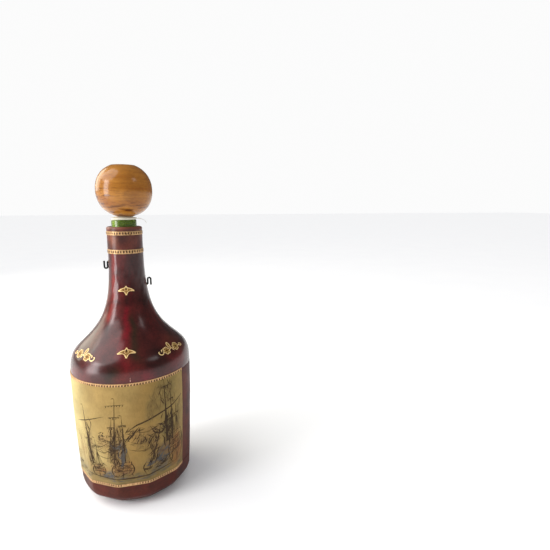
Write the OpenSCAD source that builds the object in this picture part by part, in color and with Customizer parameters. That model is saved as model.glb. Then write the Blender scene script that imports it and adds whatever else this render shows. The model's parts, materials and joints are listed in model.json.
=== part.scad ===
// Leather-covered glass decanter with a sailing-ship panel, neck hooks and a wooden ball stopper.
// Millimetres, +Z up, origin at the centre of the base. The front of the bottle faces -Y.

/* [Body] */
// Outer radius of the leather body at the shoulder
body_r = 61.9; // [60.5:0.1:62.5]
// Outer radius of the leather body above the heel, across the corners of the flats
heel_r = 59.3; // [58:0.1:59.4]
// Rounding radius of the heel
heel_round = 20; // [17:0.5:22]
// Number of flats around the lower body
flat_count = 12; // [10:1:14]
// Distance from the axis to a flat, at the base
flat_base_r = 56.4; // [55.8:0.1:57]
// Height at which the flats run out into the round body
flat_fade_z = 110; // [95:1:118]
// Height where the shoulder starts
shoulder_z = 136; // [134:0.5:138]

/* [Neck] */
// Outer radius of the leather neck
neck_r = 17.7; // [17.5:0.1:17.9]
// Height of the top of the leather
neck_top_z = 287; // [286:0.5:288]
// Height of the joint between neck cover and neck collar
collar_z = 261.8; // [260.5:0.1:263]
// Rounding radius of the rolled top edge
roll_r = 2.2; // [1.5:0.1:2.6]

/* [Skins] */
// Thickness of the leather
leather_t = 1.4; // [1.2:0.1:1.6]
// Thickness of the picture sheet
sheet_t = 0.4; // [0.3:0.05:0.6]
// Thickness of the gilt strips and borders
strip_t = 0.5; // [0.4:0.05:0.8]
// Thickness of the gilt foil ornaments
foil_t = 0.15; // [0.12:0.01:0.25]
// Thickness of the base disc
base_disc_t = 1; // [0.8:0.1:1.2]

/* [Glass] */
// Wall thickness of the glass body
glass_wall = 3.3; // [2.8:0.1:3.6]
// Outer radius of the bare glass lip
lip_r = 12.5; // [12.2:0.1:13]
// Height of the top of the glass lip
lip_z = 294; // [293:0.5:295]
// Radius of the bore that takes the stopper
bore_r = 9.25; // [9.2:0.05:9.5]

/* [Panel] */
// Lower edge of the picture sheet
panel_low_z = 29.6; // [28:0.1:32]
// Upper edge of the picture sheet
panel_high_z = 136; // [134:0.1:137]
// Width of the tooled border strips above and below the sheet
border_w = 2.8; // [2:0.1:3]
// Direction of the right-hand edge of the sheet, in degrees from the front
panel_right = 57; // [50:1:65]

/* [Hooks] */
// Wire radius of the hooks
wire_r = 0.9; // [0.7:0.05:0.95]
// Height of the pivot of the left hook, which hangs down
left_pivot_z = 250.3; // [248:0.1:252]
// Height of the pivot of the right hook, which is turned up
right_pivot_z = 224.4; // [223:0.1:226]
// Inside radius of the hook's bend, to the wire's centre
hook_bend_r = 1.6; // [1.5:0.05:1.7]
// Length of the hook from its pivot to the centre of its bend
hook_drop = 5.4; // [5:0.1:6]

/* [Stopper] */
// Radius of the wooden ball across its widest part
ball_r = 27.8; // [26:0.1:29]
// Height of the wooden ball, before its underside and top are cut flat
ball_h = 54.4; // [53:0.2:56]
// How much of the ball's top is cut off flat
ball_flat = 1.8; // [1.5:0.1:2.1]
// How square the ball's outline is: 2 is a true ellipse
ball_square = 2.2; // [2:0.1:3]
// Height of the ball's underside above the glass lip
ball_gap = 3.2; // [3:0.1:4.5]
// How far off its plug's axis the ball was glued, towards +X
ball_shift = 2.2; // [0:0.1:2.5]
// Length of the plug below the glass lip
plug_len = 22; // [18:1:24]

/* [Hidden] */
$fn = 96;

gap = 0.05;
big = 200;
flange_r = 2.6;
flange_t = 0.5;
eyelet_r = 1.8;
head_r = 1.4;
head_t = 0.25;
// From the leather to the centre of a hook's leg, so that it turns clear of the neck
hook_stand = 0.25 + wire_r;
heel_z = base_disc_t + gap;
heel_top_z = 28.2;
wrap_top_z = panel_high_z + border_w / 2;
barrel_z = heel_z + heel_round;

// Shoulder and neck outline: two cubic curves that meet at the steepest point of the shoulder.
slope_r = 44.5;
slope_z = 171.5;
slope_angle = 46.2;
slope_dir = [-sin(slope_angle), cos(slope_angle)];
neck_start_z = 261;

function cubic(a, b, c, d, n) = [for (i = [1 : n]) let (t = i / n)
    pow(1 - t, 3) * a + 3 * pow(1 - t, 2) * t * b + 3 * (1 - t) * t * t * c + pow(t, 3) * d];

// Outer outline of the leather as [radius, height], from the underside to the top of the neck.
outline = concat(
    [for (a = [0 : 15 : 90]) [heel_r - heel_round + heel_round * sin(a),
                              barrel_z - heel_round * cos(a)]],
    [for (i = [1 : 5]) let (u = i / 5) [heel_r + (body_r - heel_r) * (1 - pow(1 - u, 2)),
                                        barrel_z + (shoulder_z - barrel_z) * u]],
    cubic([body_r, shoulder_z], [body_r, shoulder_z + 21.1], [slope_r, slope_z] - 18.8 * slope_dir,
          [slope_r, slope_z], 8),
    cubic([slope_r, slope_z], [slope_r, slope_z] + 30.9 * slope_dir, [neck_r, neck_start_z - 45.3],
          [neck_r, neck_start_z], 12),
    [[neck_r, neck_top_z]]);

function unit(v) = v / norm(v);
// The outline moved inwards by d, square to itself; its first and last points move along it too.
function inset(d) = [for (i = [0 : len(outline) - 1])
    let (before = outline[max(i - 1, 0)], after = outline[min(i + 1, len(outline) - 1)],
         along = i == 0 ? [1, 0] : unit(after - before))
    outline[i] + d * [-along[1], along[0]]];
// Radius of the leather at a height on the neck
function outer_r(z) = lookup(z, [for (p = outline) if (p[1] > slope_z) [p[1], p[0]]]);

// Solid of revolution inside the outline, d further in, from z low to z high
module round_solid(d, low, high) {
    intersection() {
        rotate_extrude() polygon(concat([[0, inset(d)[0][1]]], inset(d),
                                        [[0, inset(d)[len(outline) - 1][1]]]));
        translate([-big / 2, -big / 2, low]) cube([big, big, high - low]);
    }
}

// A cutter whose face leans out by tilt degrees and passes d inside the point (radius, height)
module flat_cutter(radius, height, tilt, d, reach) {
    translate([0, -radius, height]) rotate([tilt, 0, 0])
        translate([-40, -40, -20]) cube([80, 40 + d, reach + 20]);
}

// The same with the lower body's flats cut on it, and a matching chamfer under each on the heel
module flatted_solid(d, low, high) {
    side_tilt = atan((body_r - flat_base_r) / flat_fade_z);
    squeeze = cos(180 / flat_count);
    chamfer_r = (heel_r - heel_round * (1 - sin(45))) * squeeze;
    difference() {
        round_solid(d, low, high);
        for (i = [0 : flat_count - 1]) rotate([0, 0, i * 360 / flat_count]) {
            flat_cutter(flat_base_r, 0, side_tilt, d, flat_fade_z + 20);
            if (low < barrel_z)
                flat_cutter(chamfer_r, barrel_z - heel_round * cos(45), 45, d, 25);
        }
    }
}

module shell(outside, inside, low, high) {
    difference() {
        flatted_solid(outside, low, high);
        flatted_solid(inside, low - 1, high + 1);
    }
}

module round_shell(outside, inside, low, high) {
    difference() {
        round_solid(outside, low, high);
        round_solid(inside, low - 1, high + 1);
    }
}

// Half of space on the picture's side: 180 degrees of the bottle, ending at panel_right
module picture_side() {
    rotate([0, 0, panel_right - 90]) translate([-big / 2, -big / 2, 0]) cube([big, big / 2, big]);
}

// Ring of rectangular section
module ring(r_in, r_out, low, high) {
    rotate_extrude() translate([r_in, low]) square([r_out - r_in, high - low]);
}

module glass_bottle() {
    skin = leather_t + gap;
    neck_wall_r = neck_r - skin;
    finish_z = neck_top_z - 1.4;
    color("forestgreen") difference() {
        union() {
            flatted_solid(skin, heel_z + skin, neck_start_z + 2);
            rotate_extrude() polygon([[0, neck_start_z + 1], [neck_wall_r, neck_start_z + 1],
                [neck_wall_r, finish_z - 3], [lip_r + 0.6, finish_z], [lip_r, finish_z + 0.2],
                [lip_r, lip_z - 0.8], [lip_r - 0.8, lip_z], [0, lip_z]]);
        }
        flatted_solid(skin + glass_wall, heel_z + skin + glass_wall + 2, neck_start_z + 2);
        rotate_extrude() polygon([[0, neck_start_z + 1],
            [neck_r - skin - glass_wall, neck_start_z + 1],
            [neck_r - skin - glass_wall, neck_start_z + 7], [bore_r, neck_start_z + 12],
            [bore_r, lip_z + 1], [0, lip_z + 1]]);
    }
}

// Inner face of an eyelet's flange, measured from the axis: it clears the glass below it too
function eyelet_seat(z) = outer_r(z - flange_r) - leather_t + gap;

// Round clearance for an eyelet, along the hook's axis on one side
module eyelet_hole(side, z) {
    translate([0, 0, z]) rotate([0, side * 90, 0]) {
        translate([0, 0, eyelet_seat(z) - 2])
            cylinder(r = flange_r + gap, h = 2 + flange_t + gap);
        translate([0, 0, eyelet_seat(z)]) cylinder(r = eyelet_r + gap, h = 6);
    }
}

module shoulder_cover() {
    color([0.33, 0.07, 0.08]) difference() {
        round_shell(0, leather_t, wrap_top_z + gap, collar_z);
        eyelet_hole(-1, left_pivot_z);
        eyelet_hole(1, right_pivot_z);
    }
}

module neck_collar() {
    inner = neck_r - leather_t;
    top = neck_top_z;
    color([0.32, 0.16, 0.12]) rotate_extrude() difference() {
        union() {
            translate([lip_r, collar_z + gap])
                square([neck_r - lip_r, top - roll_r - collar_z - gap]);
            translate([lip_r, top - roll_r - 1]) square([neck_r - roll_r - lip_r, roll_r + 1]);
            translate([neck_r - roll_r, top - roll_r]) circle(r = roll_r);
        }
        polygon([[0, collar_z - 1], [inner, collar_z - 1], [inner, top - 4.35],
                 [lip_r + 0.7, top - 1.35], [lip_r + gap, top - 1.1], [lip_r + gap, top + 1],
                 [0, top + 1]]);
    }
}

module body_wrap() {
    color([0.34, 0.08, 0.08]) shell(0, leather_t, heel_top_z + gap, wrap_top_z);
}

module heel_cover() {
    color([0.34, 0.08, 0.08]) difference() {
        shell(0, leather_t, heel_z, heel_top_z);
        translate([0, 0, heel_z - 1]) cylinder(r = 30, h = 4);
    }
}

module base_disc() {
    color([0.16, 0.12, 0.1]) cylinder(r = 36, h = base_disc_t);
}

module ship_panel() {
    color([0.8, 0.69, 0.45]) intersection() {
        shell(-gap - sheet_t, -gap, panel_low_z, panel_high_z);
        picture_side();
    }
}

module border(low) {
    color([0.78, 0.62, 0.3]) intersection() {
        shell(-gap - strip_t, -gap, low, low + border_w);
        picture_side();
    }
}

module panel_border_top() {
    border(panel_high_z + gap);
}

module panel_border_bottom() {
    border(panel_low_z - gap - border_w);
}

module neck_band(middle, width) {
    color([0.82, 0.68, 0.38])
        ring(neck_r + gap, neck_r + gap + strip_t, middle - width / 2, middle + width / 2);
}

module neck_band_upper() {
    neck_band(280.6, 3.8);
}

module neck_band_lower() {
    neck_band(collar_z, 4.2);
}

// A foil ornament: the flat shape is carried square onto the leather at one side and height.
module foil(turn, low, high, middle) {
    color([0.85, 0.68, 0.32]) intersection() {
        round_shell(-gap - foil_t, -gap, low, high);
        rotate([0, 0, turn]) translate([0, 0, middle]) rotate([90, 0, 0])
            linear_extrude(height = body_r + 5) children();
    }
}

// Winged lily: pointed head, two drooping wings and a tail
module lily(width, height) {
    w = width / 2;
    h = height / 2;
    polygon([[0, h], [w * 0.25, h * 0.4], [w * 0.6, h * 0.2], [w, -h * 0.3], [w * 0.55, -h * 0.12],
             [w * 0.22, -h * 0.3], [0, -h], [-w * 0.22, -h * 0.3], [-w * 0.55, -h * 0.12],
             [-w, -h * 0.3], [-w * 0.6, h * 0.2], [-w * 0.25, h * 0.4]]);
}

// Flower spray that runs to the right from its curled stem: two flowers, a leaf and a bud
module spray() {
    translate([-8, 0]) circle(r = 3.2);
    translate([4, 0.5]) circle(r = 3);
    translate([13, -1.6]) circle(r = 1.8);
    polygon([[-17, -2], [-8, -1], [4, -0.5], [15, -2.5], [15, -1.5], [4, 0.6], [-8, 0.4],
             [-17, -1]]);
    polygon([[-4, -0.6], [-2.6, -0.6], [-0.6, 2.6], [-1.4, 5], [-3.4, 3]]);
}

module neck_fleur() {
    foil(0, 214, 230, 222.3) lily(15.6, 10);
}

module shoulder_fleur() {
    foil(0, 158, 174, 166) lily(17.4, 9.2);
}

module spray_right() {
    foil(52.5, 150, 172, 161.5) spray();
}

module spray_left() {
    foil(-52.5, 150, 172, 161.5) mirror([1, 0]) spray();
}

// Brass eyelet that a hook's shank turns in; its flange lies under the leather
module eyelet(side, z) {
    seat = eyelet_seat(z);
    color([0.45, 0.36, 0.22]) translate([0, 0, z]) rotate([0, side * 90, 0]) difference() {
        union() {
            translate([0, 0, seat]) cylinder(r = flange_r, h = flange_t);
            translate([0, 0, seat]) cylinder(r = eyelet_r, h = outer_r(z) + 0.15 - seat);
        }
        translate([0, 0, seat - 1]) cylinder(r = wire_r + gap, h = leather_t + 3);
        translate([0, 0, seat - 1]) cylinder(r = head_r + 0.1, h = 1 + head_t + 0.1);
    }
}

module eyelet_left() {
    eyelet(-1, left_pivot_z);
}

module eyelet_right() {
    eyelet(1, right_pivot_z);
}

// Bent wire hook. Its shank runs out along +X from the headed end; it bends towards -Z.
module hook(head_x, leg_x) {
    elbow = 1;
    tip_h = 5.6;
    union() {
        translate([head_x, 0, 0]) rotate([0, 90, 0]) cylinder(r = head_r, h = head_t);
        translate([leg_x - elbow, 0, 0]) rotate([0, -90, 0])
            cylinder(r = wire_r, h = leg_x - elbow - head_x - 0.1);
        translate([leg_x - elbow, 0, -elbow]) rotate([90, 0, 0])
            rotate_extrude(angle = 90) translate([elbow, 0]) circle(r = wire_r);
        translate([leg_x, 0, -elbow]) rotate([180, 0, 0])
            cylinder(r = wire_r, h = hook_drop - elbow);
        translate([leg_x + hook_bend_r, 0, -hook_drop]) rotate([90, 0, 0])
            rotate([0, 0, 180]) rotate_extrude(angle = 180) translate([hook_bend_r, 0]) circle(r = wire_r);
        translate([leg_x + 2 * hook_bend_r, 0, -hook_drop]) cylinder(r = wire_r, h = tip_h);
        translate([leg_x + 2 * hook_bend_r, 0, tip_h - hook_drop]) sphere(r = wire_r + 0.15);
    }
}

module hook_left() {
    color([0.2, 0.2, 0.22]) translate([0, 0, left_pivot_z]) rotate([0, 0, 180])
        hook(eyelet_seat(left_pivot_z) + gap, outer_r(left_pivot_z) + hook_stand);
}

module hook_right() {
    color([0.2, 0.2, 0.22]) translate([0, 0, right_pivot_z]) rotate([180, 0, 0])
        hook(eyelet_seat(right_pivot_z) + gap, outer_r(right_pivot_z) + hook_stand);
}

module stopper_plug() {
    rib_r = bore_r - gap;
    flange_z = lip_z + gap;
    ball_z = lip_z + ball_gap;
    color([0.86, 0.86, 0.8]) rotate_extrude() polygon(concat(
        [[7.2, lip_z - plug_len], [8.4, lip_z - plug_len], [rib_r - 0.4, lip_z - plug_len + 2]],
        [for (i = [0 : 3]) let (z = lip_z - plug_len + 3.5 + i * 4.5)
            each [[rib_r - 0.4, z], [rib_r, z + 0.6], [rib_r, z + 1.6], [rib_r - 0.4, z + 2.2]]],
        [[rib_r - 0.4, flange_z], [lip_r, flange_z], [lip_r, flange_z + 1.7],
         [lip_r - 1, flange_z + 2.4], [9, flange_z + 2.6], [9, ball_z - gap], [4, ball_z - gap],
         [4, ball_z + 12], [3.2, ball_z + 13], [0, ball_z + 13], [0, lip_z + 1.5],
         [7.2, lip_z + 1.5]]));
}

module stopper_ball() {
    under_z = lip_z + ball_gap;
    half_h = ball_h / 2;
    centre_z = under_z + half_h - 0.6;
    top_z = centre_z + half_h - ball_flat;
    color([0.8, 0.56, 0.27]) difference() {
        translate([ball_shift, 0, 0]) rotate_extrude() polygon([for (a = [-90 : 6 : 90])
            [ball_r * pow(max(cos(a), 0), 2 / ball_square),
             min(top_z, max(under_z, centre_z + half_h * sign(a)
                 * pow(abs(sin(a)), 2 / ball_square)))]]);
        translate([0, 0, under_z - 1]) cylinder(r = 4.05, h = 15);
    }
}

// Thin tongue of moulding waste left on the plug's flange, curving out and down
module stopper_strand() {
    color([0.85, 0.86, 0.84]) translate([6.75, 0.6, 274]) rotate([90, 0, 0])
        rotate([0, 0, 41]) rotate_extrude(angle = 33) translate([22.2, 0]) square([0.5, 1.2]);
}

glass_bottle();
shoulder_cover();
neck_collar();
body_wrap();
heel_cover();
base_disc();
ship_panel();
panel_border_top();
panel_border_bottom();
neck_band_upper();
neck_band_lower();
neck_fleur();
shoulder_fleur();
spray_right();
spray_left();
eyelet_left();
eyelet_right();
hook_left();
hook_right();
stopper_plug();
stopper_ball();
stopper_strand();
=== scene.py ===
"""Leather-covered glass decanter with a sailing-ship picture, neck hooks and a wooden ball stopper."""
import json
import math
import bmesh
import bpy
import numpy as np
from mathutils import Euler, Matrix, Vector

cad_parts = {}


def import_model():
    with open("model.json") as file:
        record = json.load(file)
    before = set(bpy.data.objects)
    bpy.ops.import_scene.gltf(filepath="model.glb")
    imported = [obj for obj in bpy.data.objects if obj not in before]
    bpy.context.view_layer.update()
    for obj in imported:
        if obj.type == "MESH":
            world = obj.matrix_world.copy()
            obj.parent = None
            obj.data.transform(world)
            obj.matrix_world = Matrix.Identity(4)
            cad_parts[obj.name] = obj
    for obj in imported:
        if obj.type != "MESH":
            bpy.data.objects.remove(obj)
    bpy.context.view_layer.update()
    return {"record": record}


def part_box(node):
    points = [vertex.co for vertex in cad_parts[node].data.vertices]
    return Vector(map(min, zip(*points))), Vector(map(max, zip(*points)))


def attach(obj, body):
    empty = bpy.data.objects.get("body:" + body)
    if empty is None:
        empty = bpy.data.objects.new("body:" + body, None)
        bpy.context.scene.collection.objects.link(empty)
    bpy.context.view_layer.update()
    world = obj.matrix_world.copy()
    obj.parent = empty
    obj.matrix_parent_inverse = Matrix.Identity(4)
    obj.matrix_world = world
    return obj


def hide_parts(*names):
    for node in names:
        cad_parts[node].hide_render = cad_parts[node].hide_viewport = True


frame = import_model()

MM = 0.001


def cad(node, corner, axis):
    """One coordinate of a CAD node's box in millimetres: corner 0 is the low one, 1 the high one."""
    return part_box(node)[corner][axis] / MM


# ---------------------------------------------------------------- the leather's outer surface, in mm

BODY_R = cad("body_wrap", 1, 0)
HEEL_Z = cad("heel_cover", 0, 2)
HEEL_TOP_Z = cad("heel_cover", 1, 2)
WRAP_TOP_Z = cad("body_wrap", 1, 2)
COLLAR_Z = cad("neck_collar", 0, 2)
NECK_TOP_Z = cad("neck_collar", 1, 2)
NECK_R = cad("neck_collar", 1, 0)
HEEL_R = 59.3
HEEL_ROUND = 20.0
FLAT_COUNT = 12
FLAT_BASE_R = 56.4
FLAT_FADE_Z = 110.0
SHOULDER_Z = 136.0
SLOPE_R, SLOPE_Z, SLOPE_ANGLE = 44.5, 171.5, math.radians(46.2)
NECK_START_Z = 261.0
LEATHER_T = 1.4
CREASE_SOFTNESS = 0.55
NICK_PHI, NICK_Z = 2.7, 142.5


def cubic(a, b, c, d, count):
    """Points along a cubic curve with these four handles, without its first."""
    t = np.linspace(0, 1, count + 1)[1:, None]
    a, b, c, d = map(np.array, (a, b, c, d))
    return (1 - t) ** 3 * a + 3 * (1 - t) ** 2 * t * b + 3 * (1 - t) * t * t * c + t ** 3 * d


def outline():
    """Radius and height along the leather, from the underside to the top of the neck."""
    barrel_z = HEEL_Z + HEEL_ROUND
    a = np.radians(np.arange(0, 91, 3))
    heel = np.c_[HEEL_R - HEEL_ROUND * (1 - np.sin(a)), barrel_z - HEEL_ROUND * np.cos(a)]
    u = np.linspace(0, 1, 41)[1:]
    barrel = np.c_[HEEL_R + (BODY_R - HEEL_R) * (1 - (1 - u) ** 2),
                   barrel_z + (SHOULDER_Z - barrel_z) * u]
    slope = np.array([SLOPE_R, SLOPE_Z])
    along = np.array([-math.sin(SLOPE_ANGLE), math.cos(SLOPE_ANGLE)])
    shoulder = cubic([BODY_R, SHOULDER_Z], [BODY_R, SHOULDER_Z + 21.1], slope - 18.8 * along, slope, 40)
    flare = cubic(slope, slope + 30.9 * along, [NECK_R, NECK_START_Z - 45.3],
                  [NECK_R, NECK_START_Z], 60)
    return np.vstack([heel, barrel, shoulder, flare, [[NECK_R, NECK_TOP_Z]]])


OUTLINE = outline()
STEPS = np.hypot(*np.diff(OUTLINE, axis=0).T)
S_AT = np.r_[0, np.cumsum(STEPS)]
S = np.linspace(0, S_AT[-1], 1400)
R = np.interp(S, S_AT, OUTLINE[:, 0])
Z = np.interp(S, S_AT, OUTLINE[:, 1])
SMOOTH = np.hanning(15) / np.hanning(15).sum()
DR = np.convolve(np.pad(np.gradient(R, S), 7, "edge"), SMOOTH, "valid")
DZ = np.convolve(np.pad(np.gradient(Z, S), 7, "edge"), SMOOTH, "valid")


def s_at(z):
    """How far along the outline a height is, in mm."""
    return np.interp(z, Z, S)


def smoothstep(low, high, x):
    t = np.clip((x - low) / (high - low), 0, 1)
    return t * t * (3 - 2 * t)


def waves(phi, z, seed, count, finest, size_mm):
    """Smooth seeded variation between about -1 and 1 that joins up round the bottle."""
    rng = np.random.default_rng(seed)
    total = np.zeros(np.broadcast(phi, z).shape)
    for _ in range(count):
        turns = rng.integers(-finest, finest + 1)
        total += np.sin(np.radians(phi) * turns + z * rng.normal(0, 2 * math.pi / size_mm)
                        + rng.uniform(0, 2 * math.pi))
    return total / math.sqrt(count)


def relief(phi, z):
    """Hand-laid leather is a little uneven; a small nick shows above the picture."""
    lift = 0.07 * waves(phi, z, 5, 14, 14, 40) * smoothstep(2, 20, z)
    lift = lift + 0.05 * waves(phi, z, 6, 14, 30, 16) * smoothstep(140, 160, z)
    nick = np.exp(-((phi - NICK_PHI) / 0.7) ** 2 - ((z - NICK_Z) / 2.2) ** 2)
    flaw = np.exp(-((phi + 23.5) / 1.0) ** 2 - ((z - 163) / 0.9) ** 2)
    return lift - 0.35 * nick - 0.25 * flaw


def surface(phi, s, lift=0.0):
    """Points in metres: phi in degrees from the front, s along the outline, lift square to it."""
    phi, s, lift = np.broadcast_arrays(*(np.asarray(v, float) for v in (phi, s, lift)))
    r, z = np.interp(s, S, R), np.interp(s, S, Z)
    dr, dz = np.interp(s, S, DR), np.interp(s, S, DZ)
    turn = np.radians(phi)
    pitch = 2 * math.pi / FLAT_COUNT
    off = (turn + pitch / 2) % pitch - pitch / 2
    chamfer_r = (HEEL_R - HEEL_ROUND * (1 - math.sin(math.pi / 4))) * math.cos(pitch / 2)
    chamfer_z = HEEL_Z + HEEL_ROUND * (1 - math.cos(math.pi / 4))
    side = FLAT_BASE_R + (BODY_R - FLAT_BASE_R) / FLAT_FADE_Z * z
    limit = np.minimum(side, chamfer_r + z - chamfer_z) / np.cos(off)
    r = r - CREASE_SOFTNESS * np.logaddexp(0, (r - limit) / CREASE_SOFTNESS)
    lift = lift + relief(phi, z)
    r = r + lift * dz
    z = z - lift * dr
    return np.stack([r * np.sin(turn), -r * np.cos(turn), z], -1) * MM


# ---------------------------------------------------------------- mesh helpers

def make(name, verts, faces, sharp=40):
    """A smooth-shaded mesh object, doubled points merged; edges over sharp degrees stay crisp."""
    mesh = bpy.data.meshes.new(name)
    mesh.from_pydata(np.asarray(verts).reshape(-1, 3).tolist(), [], faces)
    bm = bmesh.new()
    bm.from_mesh(mesh)
    bmesh.ops.remove_doubles(bm, verts=bm.verts, dist=1e-7)
    bmesh.ops.recalc_face_normals(bm, faces=bm.faces)
    bm.to_mesh(mesh)
    bm.free()
    mesh.shade_smooth()
    mesh.set_sharp_from_angle(angle=math.radians(sharp))
    piece = bpy.data.objects.new(name, mesh)
    bpy.context.scene.collection.objects.link(piece)
    return piece


def grid_faces(rows, columns, wrap_rows, wrap_columns):
    """Four-sided faces between the points of a grid, which may join up along either direction."""
    i, j = np.meshgrid(np.arange(rows if wrap_rows else rows - 1),
                       np.arange(columns if wrap_columns else columns - 1), indexing="ij")
    i2, j2 = (i + 1) % rows, (j + 1) % columns
    return np.stack([i * columns + j, i2 * columns + j, i2 * columns + j2, i * columns + j2],
                    -1).reshape(-1, 4).tolist()


def tint(piece, colour_at):
    """Stores colour_at(phi in degrees, z in mm) at each vertex, as the attribute "dye"."""
    mesh = piece.data
    co = np.empty(len(mesh.vertices) * 3)
    mesh.vertices.foreach_get("co", co)
    co = co.reshape(-1, 3) / MM
    phi = np.degrees(np.arctan2(co[:, 0], -co[:, 1]))
    rgba = np.ones((len(co), 4))
    rgba[:, :3] = colour_at(phi, co[:, 2])
    # Some of these colours carry painted shade and painted highlights besides the surfaces' own colours.
    layer = mesh.color_attributes.new("dye_and_painted_light", "FLOAT_COLOR", "POINT")
    layer.data.foreach_set("color", rgba.ravel())


def sheet_section(s_low, s_high, low, high, edge, step):
    """Closed section of a sheet lying on the surface, as s and lift, with its outer edges rounded."""
    count = max(3, int((s_high - s_low) / step))
    a = np.radians([0, 30, 60, 90])
    top = np.linspace(s_low + edge, s_high - edge, count)
    back = np.linspace(s_high, s_low, max(3, count // 3))
    s = np.r_[top, s_high - edge + edge * np.sin(a[1:]), back, s_low + edge - edge * np.sin(a[:0:-1])]
    lift = np.r_[np.full(count, high), high - edge + edge * np.cos(a[1:]), np.full(len(back), low),
                 high - edge + edge * np.cos(a[:0:-1])]
    return s, lift


def sheet_piece(name, phi_low, phi_high, section, phi_step):
    """A sheet wrapped on the leather; it closes on itself where it runs all round."""
    full = phi_high - phi_low >= 360
    count = int(round((phi_high - phi_low) / phi_step)) + (0 if full else 1)
    phi = phi_low + phi_step * np.arange(count) if full else np.linspace(phi_low, phi_high, count)
    s, lift = section
    points = surface(phi[:, None], s[None, :], lift[None, :])
    faces = grid_faces(count, len(s), full, True)
    if not full:
        faces += [list(range(len(s))), [(count - 1) * len(s) + k for k in range(len(s))]]
    return make(name, points, faces)


def lathe(name, profile, segments=96, shift=0.0, closed=True):
    """Turns (radius, height) points in mm round the vertical axis; shift moves each along +X."""
    profile = np.array(profile, float)
    a = np.linspace(0, 2 * math.pi, segments, endpoint=False)
    r, z = profile[:, 0], profile[:, 1]
    x = r[None] * np.cos(a)[:, None] + np.broadcast_to(shift, r.shape)[None]
    y = r[None] * np.sin(a)[:, None]
    points = np.stack([x, y, np.broadcast_to(z, (segments, len(z)))], -1) * MM
    return make(name, points, grid_faces(segments, len(r), True, closed))


def rounded(points, radius, count=5):
    """The polygon's corners replaced by short arcs; radius is one number, or one for each corner."""
    radius = np.broadcast_to(radius, len(points))
    out = []
    for i, corner in enumerate(points):
        corner = np.array(corner, float)
        before = np.array(points[i - 1], float) - corner
        after = np.array(points[(i + 1) % len(points)], float) - corner
        reach = min(radius[i], np.linalg.norm(before) * 0.49, np.linalg.norm(after) * 0.49)
        if radius[i] == 0:
            out.append(corner)
            continue
        start = corner + before / np.linalg.norm(before) * reach
        end = corner + after / np.linalg.norm(after) * reach
        for t in np.linspace(0, 1, count):
            out.append((1 - t) ** 2 * start + 2 * t * (1 - t) * corner + t * t * end)
    return out


def tube(name, path, radii, side_scale=1.0, segments=16):
    """A round wire along a path in metres; side_scale flattens it."""
    path = np.array(path, float)
    radii = np.broadcast_to(radii, len(path))
    tangent = np.gradient(path, axis=0)
    tangent /= np.linalg.norm(tangent, axis=1)[:, None]
    side = np.array([0.0, 1.0, 0.0])
    rows = []
    for point, along, radius in zip(path, tangent, radii):
        side = side - along * side.dot(along)
        side /= np.linalg.norm(side)
        up = np.cross(along, side)
        a = np.linspace(0, 2 * math.pi, segments, endpoint=False)[:, None]
        rows.append(point + radius * (side_scale * np.cos(a) * side + np.sin(a) * up))
    faces = grid_faces(len(path), segments, False, True)
    faces += [list(range(segments)), [(len(path) - 1) * segments + k for k in range(segments)]]
    return make(name, np.array(rows), faces)


FINE = {"step": 0.5, "ends": 1}


class Strokes:
    """Collects tapering brush or tooling strokes, each a closed ridge lying on the surface."""

    def __init__(self, place, low, high):
        self.place, self.low, self.high = place, low, high
        self.verts, self.faces, self.count = [], [], 0

    def add(self, points, width, step=1.5, ends=0.35, rise=1.0):
        """points in mm on the drawing; width is one number or one for each point."""
        points = np.array(points, float)
        reach = np.r_[0, np.cumsum(np.hypot(*np.diff(points, axis=0).T))]
        if reach[-1] <= 0:
            return
        count = max(3, int(reach[-1] / step) + 2)
        t = np.linspace(0, reach[-1], count)
        x, y = np.interp(t, reach, points[:, 0]), np.interp(t, reach, points[:, 1])
        wide = np.interp(t, reach, np.broadcast_to(width, len(points)))
        if ends < 1:
            u = t / reach[-1]
            wide = wide * (ends + (1 - ends) * np.minimum(1, 4 * np.minimum(u, 1 - u)))
        dx, dy = np.gradient(x), np.gradient(y)
        size = np.hypot(dx, dy)
        nx, ny = -dy / size * wide / 2, dx / size * wide / 2
        px = np.stack([x - nx, x, x + nx], 1)
        py = np.stack([y - ny, y, y + ny], 1)
        crest = self.low + (self.high - self.low) * rise
        lift = np.broadcast_to([self.low, crest, self.low], (count, 3))
        self.verts.append(self.place(px, py, lift).reshape(-1, 3))
        base = self.count
        for k in range(count - 1):
            a, b = base + 3 * k, base + 3 * k + 3
            self.faces += [[a, b, b + 1, a + 1], [a + 1, b + 1, b + 2, a + 2], [a + 2, b + 2, b, a]]
        last = base + 3 * (count - 1)
        self.faces += [[base, base + 1, base + 2], [last + 2, last + 1, last]]
        self.count += 3 * count

    def curve(self, points, width, **options):
        """The same through a smooth curve that passes its points."""
        points = np.array(points, float)
        ends = np.vstack([2 * points[0] - points[1], points, 2 * points[-1] - points[-2]])
        out, wide = [], []
        width = np.broadcast_to(width, len(points))
        for i in range(len(points) - 1):
            a, b, c, d = ends[i:i + 4]
            for t in np.linspace(0, 1, 7)[:-1]:
                out.append(0.5 * (2 * b + (c - a) * t + (2 * a - 5 * b + 4 * c - d) * t * t
                                  + (3 * b - a - 3 * c + d) * t ** 3))
                wide.append(width[i] * (1 - t) + width[i + 1] * t)
        self.add(out + [points[-1]], wide + [width[-1]], **options)

    def petal(self, x, y, angle, length, width):
        """A lens shape that starts at (x, y) and points along angle in degrees."""
        a = math.radians(angle)
        self.add([(x, y), (x + 0.45 * length * math.cos(a), y + 0.45 * length * math.sin(a)),
                  (x + length * math.cos(a), y + length * math.sin(a))],
                 [width * 0.25, width, width * 0.08], step=length / 5, ends=1)

    def finish(self, name):
        return make(name, np.vstack(self.verts), self.faces, sharp=75)


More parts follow.
